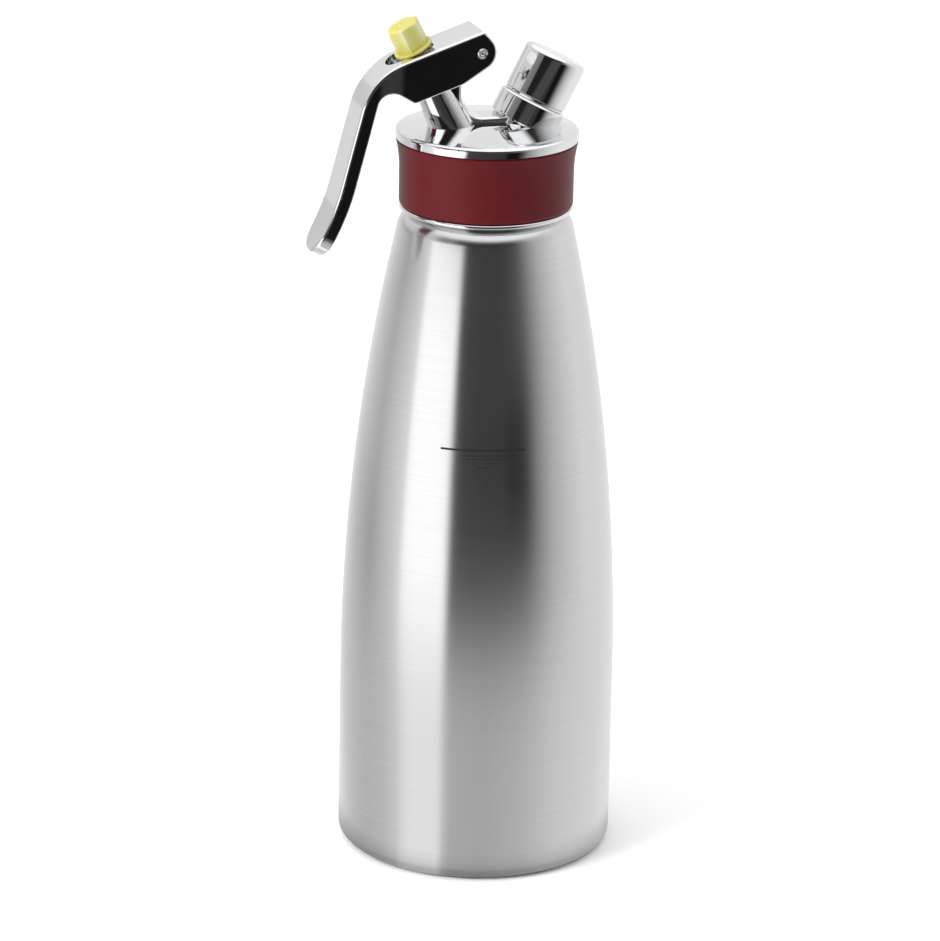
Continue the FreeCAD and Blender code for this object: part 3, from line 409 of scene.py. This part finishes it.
# Fine lines and broad bands of the belt: long round the body, short along it.
BELT_LINES = (14.0, 14.0, 3800.0)
BELT_BANDS = (6.0, 6.0, 420.0)
brushed, tree, shader = new_material("belt_brushed_steel", {
    "Metallic": 1, "Anisotropic": 0.55, "Anisotropic Rotation": 0.25})
spot = put(tree, "ShaderNodeTexCoord").outputs["Object"]
belt = put(tree, "ShaderNodeMapping", {"Vector": spot, "Scale": BELT_LINES})
lines = put(tree, "ShaderNodeTexNoise", {"Vector": belt.outputs[0], "Scale": 1.0,
                                         "Detail": 4.0, "Roughness": 0.7})
broad = put(tree, "ShaderNodeMapping", {"Vector": spot, "Scale": BELT_BANDS})
bands = put(tree, "ShaderNodeTexNoise", {"Vector": broad.outputs[0], "Scale": 1.0,
                                         "Detail": 2.0})
touch = handled(tree, patch_scale=16.0, speck_scale=1200.0)
mixed = calc(tree, "MULTIPLY_ADD", bands.outputs["Fac"], 0.5, lines.outputs["Fac"])
shade(tree, lines.outputs["Fac"], (0.60, 0.60, 0.60), (0.70, 0.70, 0.70),
      shader.inputs["Base Color"])
vary(tree, touch.outputs["Patches"], low=0.17, high=0.22, target=shader.inputs["Roughness"])
bumped(tree, shader, mixed, strength=0.10, depth=0.00004)
round_body = put(tree, "ShaderNodeTangent", direction_type="RADIAL", axis="Z")
tree.links.new(round_body.outputs[0], shader.inputs["Tangent"])

form = bmesh.new()
turned(form, [
    (0, 3), (34, 3), (36.5, 0), (43.5, 0, 4.5, 10), (48, 4.5), (48, 60, TAPER_RADIUS, 60),
    (30.26, 223.6, 8.3, 12), (26.3, 229, -1.8, 6), (24.6, 230.5), (24.6, 250), (23.6, 250),
    (23.6, 230.5, 2.8, 6), (25.8, 228, -2.6, 6), (28.7, 226.2, 1 - TAPER_RADIUS, 60), (47, 60),
    (47, 4.5, -3.5, 8), (43.5, 1), (37, 1), (34.5, 4), (0, 4),
], steps=224)
wound(form, [(24.3, 234), (25.6, 234.52), (25.6, 235.16), (24.3, 235.68)], pitch=4.0,
      turns=2.5)
piece("bottle_form", form, "bottle", brushed, ["bottle"])


# --------------------------------------------------------------------------------------------
# Fill mark: a dark line etched into the bottle at the full level, with a few short ripples
# under it. It is a thin skin that follows the bottle's wall, a little off it.
# --------------------------------------------------------------------------------------------
SKIN = 0.05


def wall_radius(height):
    """Radius of the bottle's outside on its taper, in millimetres."""
    return math.sqrt(TAPER_RADIUS ** 2 - (height - TAPER_HEIGHT) ** 2) - TAPER_BEYOND


def etched_stroke(form, height, start, end, width):
    """Strip on the wall between two compass angles, swept round the axis."""
    fresh = bmesh.new()
    low, high = height - width / 2, height + width / 2
    outline(fresh, [(wall_radius(low) + SKIN, low), (wall_radius(high) + SKIN, high)])
    bmesh.ops.rotate(fresh, cent=(0, 0, 0), verts=fresh.verts,
                     matrix=Matrix.Rotation(math.radians(start), 3, "Z"))
    bmesh.ops.spin(fresh, geom=fresh.verts[:] + fresh.edges[:], cent=(0, 0, 0),
                   axis=(0, 0, 1), angle=math.radians(end - start), steps=24, use_merge=False)
    for face in fresh.faces:
        if face.normal.dot(face.calc_center_median()) < 0:
            face.normal_flip()
    join(form, fresh)


etched, tree, shader = new_material("etched_mark", {"Metallic": 0.4})
touch = handled(tree, patch_scale=60.0, speck_scale=2600.0)
shade(tree, touch.outputs["Specks"], (0.016, 0.016, 0.017), (0.035, 0.035, 0.036),
      shader.inputs["Base Color"])
vary(tree, touch.outputs["Patches"], low=0.42, high=0.6, target=shader.inputs["Roughness"])
form = bmesh.new()
for height, start, end, width in (
        (155.6, -126.8, -87.2, 0.7), (153.6, -117.6, -92.0, 0.26), (152.6, -115.2, -94.4, 0.26),
        (151.1, -106.8, -100.4, 0.26), (149.7, -110.0, -104.0, 0.26)):
    etched_stroke(form, height, start, end, width)
piece("fill_mark", form, "bottle", etched)


# --------------------------------------------------------------------------------------------
# Head band: a sleeve of dark red silicone, moulded and stretched over the casting's groove, where
# it gives the hand a grip on the head.
# --------------------------------------------------------------------------------------------
silicone, tree, shader = new_material("dark_red_silicone", {"Specular IOR Level": 0.18})
touch = handled(tree, patch_scale=45.0, speck_scale=2600.0)
shade(tree, touch.outputs["Patches"], (0.095, 0.0048, 0.0082), (0.108, 0.0058, 0.0098),
      shader.inputs["Base Color"])
vary(tree, touch.outputs["Specks"], low=0.36, high=0.46, target=shader.inputs["Roughness"])
bumped(tree, shader, touch.outputs["Height"], strength=0.06, depth=0.00004)
form = bmesh.new()
turned(form, [
    (27.9, 231.1), (28.55, 231.1, 1.3, 8), (29.85, 232.4), (29.85, 243, -45, 24),
    (31.15, 253.7), (31.0, 254.08), (27.9, 254.1), (27.9, 231.1),
], steps=160)
piece("head_band_sleeve", form, "head", silicone, ["head_band"])


# --------------------------------------------------------------------------------------------
# Bright parts of the head: the casting and the forged lever, ground, polished and chromed.
# Their flat faces carry the light evenly, so each corner takes the larger face's direction.
# --------------------------------------------------------------------------------------------
def bright_chrome(name, low, high, ripple):
    """Chromed metal with its roughness between two values and a slight ripple."""
    metal, tree, shader = new_material(name, {"Metallic": 1})
    touch = handled(tree, patch_scale=55.0, speck_scale=2200.0)
    shade(tree, touch.outputs["Patches"], (0.76, 0.765, 0.775), (0.82, 0.822, 0.828),
          shader.inputs["Base Color"])
    vary(tree, touch.outputs["Patches"], low, high, shader.inputs["Roughness"])
    bumped(tree, shader, touch.outputs["Patches"], strength=ripple, depth=0.0003)
    return metal


def dress(node, finish):
    """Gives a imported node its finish."""
    for holder in nodes[node].material_slots:
        holder.material = finish


def even_faces(node):
    """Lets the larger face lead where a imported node's smooth faces meet."""
    even = nodes[node].modifiers.new("even_faces", "WEIGHTED_NORMAL")
    even.mode = "FACE_AREA"
    even.weight = 100
    even.keep_sharp = True


dress("head_casting", bright_chrome("cast_chrome", low=0.04, high=0.075, ripple=0.012))
dress("lever", bright_chrome("lever_chrome", low=0.045, high=0.09, ripple=0.012))
for node in ("head_casting", "lever"):
    even_faces(node)


# --------------------------------------------------------------------------------------------
# Port cap and its ring: a chromed cap turned from bar, with a rounded top edge, screwed on the
# charger port over a thin bright ring. The port's and the valve's axes lean to either side, by
# LEAN degrees, from one point on the dispenser's axis, CROSSING millimetres up.
# --------------------------------------------------------------------------------------------
LEAN = 27.0
CROSSING = 234.2
CAP_STEPS = 128


def leant(form, side):
    """Stands an upright form on the port's or the valve's leaning axis."""
    bmesh.ops.rotate(form, cent=(0, 0, 0), verts=form.verts,
                     matrix=Matrix.Rotation(math.radians(side * LEAN), 3, "Y"))
    bmesh.ops.translate(form, vec=(0, 0, CROSSING * MM), verts=form.verts)


cap_chrome = bright_chrome("turned_chrome", low=0.05, high=0.09, ripple=0.01)
form = bmesh.new()
turned(form, [
    (10.1, 36.9), (10.5, 36.9), (11.0, 37.4), (11.0, 51.8, 1.9, 12), (9.1, 53.7), (0, 53.7),
], steps=CAP_STEPS)
turned(form, [(0, 51.5), (8.0, 51.5), (8.0, 47.9), (10.1, 47.9), (10.1, 36.9)],
       steps=CAP_STEPS)
bmesh.ops.remove_doubles(form, verts=form.verts, dist=SAME_POINT)
bmesh.ops.recalc_face_normals(form, faces=form.faces)
wound(form, [(10.4, 38.9), (9.5, 39.16), (9.5, 39.48), (10.4, 39.74)], pitch=2.0, turns=3.5)
leant(form, 1)
piece("port_cap_shell", form, "port_cap", cap_chrome, ["port_cap"])
form = bmesh.new()
turned(form, [(10.05, 36.12), (10.7, 36.12, 0.3, 4), (10.8, 36.5), (10.7, 36.85),
              (10.05, 36.85), (10.05, 36.12)], steps=CAP_STEPS)
leant(form, 1)
piece("port_cap_ring_band", form, "cap_ring", cap_chrome, ["port_cap_ring"])


# --------------------------------------------------------------------------------------------
# Guard cap: a moulded cap of pale yellow plastic that lets light through, with a hexagonal body
# on a thin round flange, screwed over the valve's outlet. A painted sheen makes the body's
# corners paler than its faces; the flange keeps the deeper yellow. The spans are metres from the
# valve's axis and along it.
# --------------------------------------------------------------------------------------------
TO_CORNERS = (0.0051, 0.0064)
OFF_FLANGE = (0.0590, 0.0640)
SHEEN_WOBBLE = 0.0002
pale, tree, shader = new_material("pale_yellow_plastic", {
    "Subsurface Weight": 0.5, "Subsurface Radius": (1.0, 0.9, 0.4), "Subsurface Scale": 0.003,
    "IOR": 1.49})
touch = handled(tree, patch_scale=60.0, speck_scale=1800.0)
spot = put(tree, "ShaderNodeTexCoord").outputs["Object"]
along = put(tree, "ShaderNodeMapping", {
    "Vector": spot, "Location": (0, 0, CROSSING * MM),
    "Rotation": (0, math.radians(-LEAN), 0)}, vector_type="TEXTURE")
across = put(tree, "ShaderNodeVectorMath", {0: along.outputs[0], 1: (1, 1, 0)},
             operation="MULTIPLY")
from_axis = put(tree, "ShaderNodeVectorMath", {0: across.outputs[0]}, operation="LENGTH")
sheen_reach = calc(tree, "MULTIPLY_ADD", touch.outputs["Patches"], SHEEN_WOBBLE,
             from_axis.outputs["Value"])
corner = put(tree, "ShaderNodeMapRange", {"Value": sheen_reach, "From Min": TO_CORNERS[0],
                                          "From Max": TO_CORNERS[1]})
level = put(tree, "ShaderNodeSeparateXYZ", {"Vector": along.outputs[0]}).outputs["Z"]
above_flange = put(tree, "ShaderNodeMapRange", {"Value": level, "From Min": OFF_FLANGE[0],
                                                "From Max": OFF_FLANGE[1]})
# Painted sheen: the body's corners, further from the valve's axis, are painted paler than its
# faces, with a random wobble at the sheen's edge; the flange is left out.
painted_sheen = calc(tree, "MULTIPLY", corner.outputs[0], above_flange.outputs[0])
shade(tree, painted_sheen, (0.52, 0.475, 0.10), (0.62, 0.62, 0.42), shader.inputs["Base Color"])
vary(tree, touch.outputs["Specks"], low=0.22, high=0.30, target=shader.inputs["Roughness"])
dress("valve_guard_cap", pale)
even_faces("valve_guard_cap")


# --------------------------------------------------------------------------------------------
# Turned steel: the pivot pin, the hollow valve stem, the nut and the piercing needle, all cut
# on a lathe from bar, with fine rings left by the tool.
# --------------------------------------------------------------------------------------------
lathe, tree, shader = new_material("lathe_turned_steel", {"Metallic": 1})
touch = handled(tree, patch_scale=90.0, speck_scale=3000.0)
spot = put(tree, "ShaderNodeTexCoord").outputs["Object"]
cuts = put(tree, "ShaderNodeTexNoise", {"Vector": spot, "Scale": 2400.0, "Detail": 3.0})
shade(tree, touch.outputs["Patches"], (0.62, 0.62, 0.62), (0.72, 0.72, 0.71),
      shader.inputs["Base Color"])
vary(tree, cuts.outputs["Fac"], low=0.16, high=0.32, target=shader.inputs["Roughness"])
bumped(tree, shader, cuts.outputs["Fac"], strength=0.08, depth=0.00003)
for node in ("lever_pin", "valve_stem", "valve_seal_nut", "piercing_needle"):
    dress(node, lathe)
    even_faces(node)

# The pin's ends are domed over with a punch mark in the middle. It lies across the head.
PIN_PLACE = (-5.06 * MM, 0, 285.64 * MM)
pin_chrome = bright_chrome("polished_pin", low=0.08, high=0.14, ripple=0.01)
form = bmesh.new()
turned(form, [(0, -8.85), (0.45, -8.8), (0.75, -8.98, -0.5, 6), (1.3, -9.08, -0.75, 8),
              (1.85, -8.6), (1.85, 8.6, -0.75, 8), (1.3, 9.08, -0.5, 6), (0.75, 8.98),
              (0.45, 8.8), (0, 8.85)], steps=64)
bmesh.ops.rotate(form, cent=(0, 0, 0), verts=form.verts,
                 matrix=Matrix.Rotation(math.pi / 2, 3, "X"))
bmesh.ops.translate(form, vec=PIN_PLACE, verts=form.verts)
piece("lever_pin_rod", form, "head", pin_chrome, ["lever_pin"])


# --------------------------------------------------------------------------------------------
# Springs: two coils wound of drawn spring wire, a little darker than the turned parts. One lifts
# the valve's stem in its neck, the other shuts the check valve in the port.
# --------------------------------------------------------------------------------------------
COIL_STEPS = 40
WIRE_SIDES = 12
wire, tree, shader = new_material("drawn_spring_wire", {"Metallic": 1})
touch = handled(tree, patch_scale=260.0, speck_scale=4200.0)
shade(tree, touch.outputs["Patches"], (0.46, 0.46, 0.47), (0.58, 0.58, 0.58),
      shader.inputs["Base Color"])
vary(tree, touch.outputs["Specks"], low=0.25, high=0.4, target=shader.inputs["Roughness"])


def coil_spring(name, low, high, mean_r, wire_r, turns, side):
    """Coil between two heights on a leaning axis."""
    form = bmesh.new()
    ring = bmesh.ops.create_circle(form, cap_ends=True, segments=WIRE_SIDES,
                                   radius=wire_r * MM)
    bmesh.ops.rotate(form, cent=(0, 0, 0), verts=ring["verts"],
                     matrix=Matrix.Rotation(math.pi / 2, 3, "X"))
    bmesh.ops.translate(form, vec=(mean_r * MM, 0, (low + wire_r) * MM), verts=ring["verts"])
    steps = COIL_STEPS * turns
    rise = (high - low - 2 * wire_r) * MM
    bmesh.ops.spin(form, geom=form.faces[:], cent=(0, 0, 0), axis=(0, 0, 1),
                   dvec=(0, 0, rise / steps), angle=2 * math.pi * turns, steps=steps,
                   use_merge=False)
    bmesh.ops.remove_doubles(form, verts=form.verts, dist=1e-7)
    bmesh.ops.recalc_face_normals(form, faces=form.faces)
    leant(form, side)
    spring = piece(name + "_coil", form, "head", wire, [name])
    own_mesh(spring)


coil_spring("valve_spring", low=38.05, high=51.25, mean_r=4.6, wire_r=0.4, turns=6, side=-1)
coil_spring("check_valve_spring", low=18.6, high=23.85, mean_r=2.1, wire_r=0.25, turns=5,
            side=1)


# --------------------------------------------------------------------------------------------
# Check valve retainer: a small turned ring of brass, pressed into the port's bore under the
# check valve's spring.
# --------------------------------------------------------------------------------------------
brass, tree, shader = new_material("turned_brass", {"Metallic": 1})
touch = handled(tree, patch_scale=200.0, speck_scale=3200.0)
shade(tree, touch.outputs["Patches"], (0.62, 0.43, 0.16), (0.74, 0.56, 0.25),
      shader.inputs["Base Color"])
vary(tree, touch.outputs["Specks"], low=0.22, high=0.36, target=shader.inputs["Roughness"])
dress("check_valve_retainer", brass)


# --------------------------------------------------------------------------------------------
# Rubber parts: the red head gasket and valve seal disc, and the black ring, seal, plug and cap
# liner, all pressed in moulds, with a dull skin.
# --------------------------------------------------------------------------------------------
def moulded_rubber(name, dark, light, low, high):
    """Rubber between two colours, with its roughness between two values."""
    rubber, tree, shader = new_material(name)
    touch = handled(tree, patch_scale=140.0, speck_scale=3600.0)
    shade(tree, touch.outputs["Patches"], dark, light, shader.inputs["Base Color"])
    vary(tree, touch.outputs["Specks"], low, high, shader.inputs["Roughness"])
    bumped(tree, shader, touch.outputs["Height"], strength=0.12, depth=0.00006)
    return rubber


red_rubber = moulded_rubber("red_rubber", dark=(0.10, 0.006, 0.01),
                            light=(0.14, 0.009, 0.014), low=0.5, high=0.65)
black_rubber = moulded_rubber("black_rubber", dark=(0.012, 0.012, 0.012),
                              light=(0.022, 0.022, 0.023), low=0.48, high=0.68)
for node in ("head_gasket", "valve_seal_disc"):
    dress(node, red_rubber)
for node in ("valve_o_ring", "charger_seal", "check_valve_plug", "port_cap_liner"):
    dress(node, black_rubber)
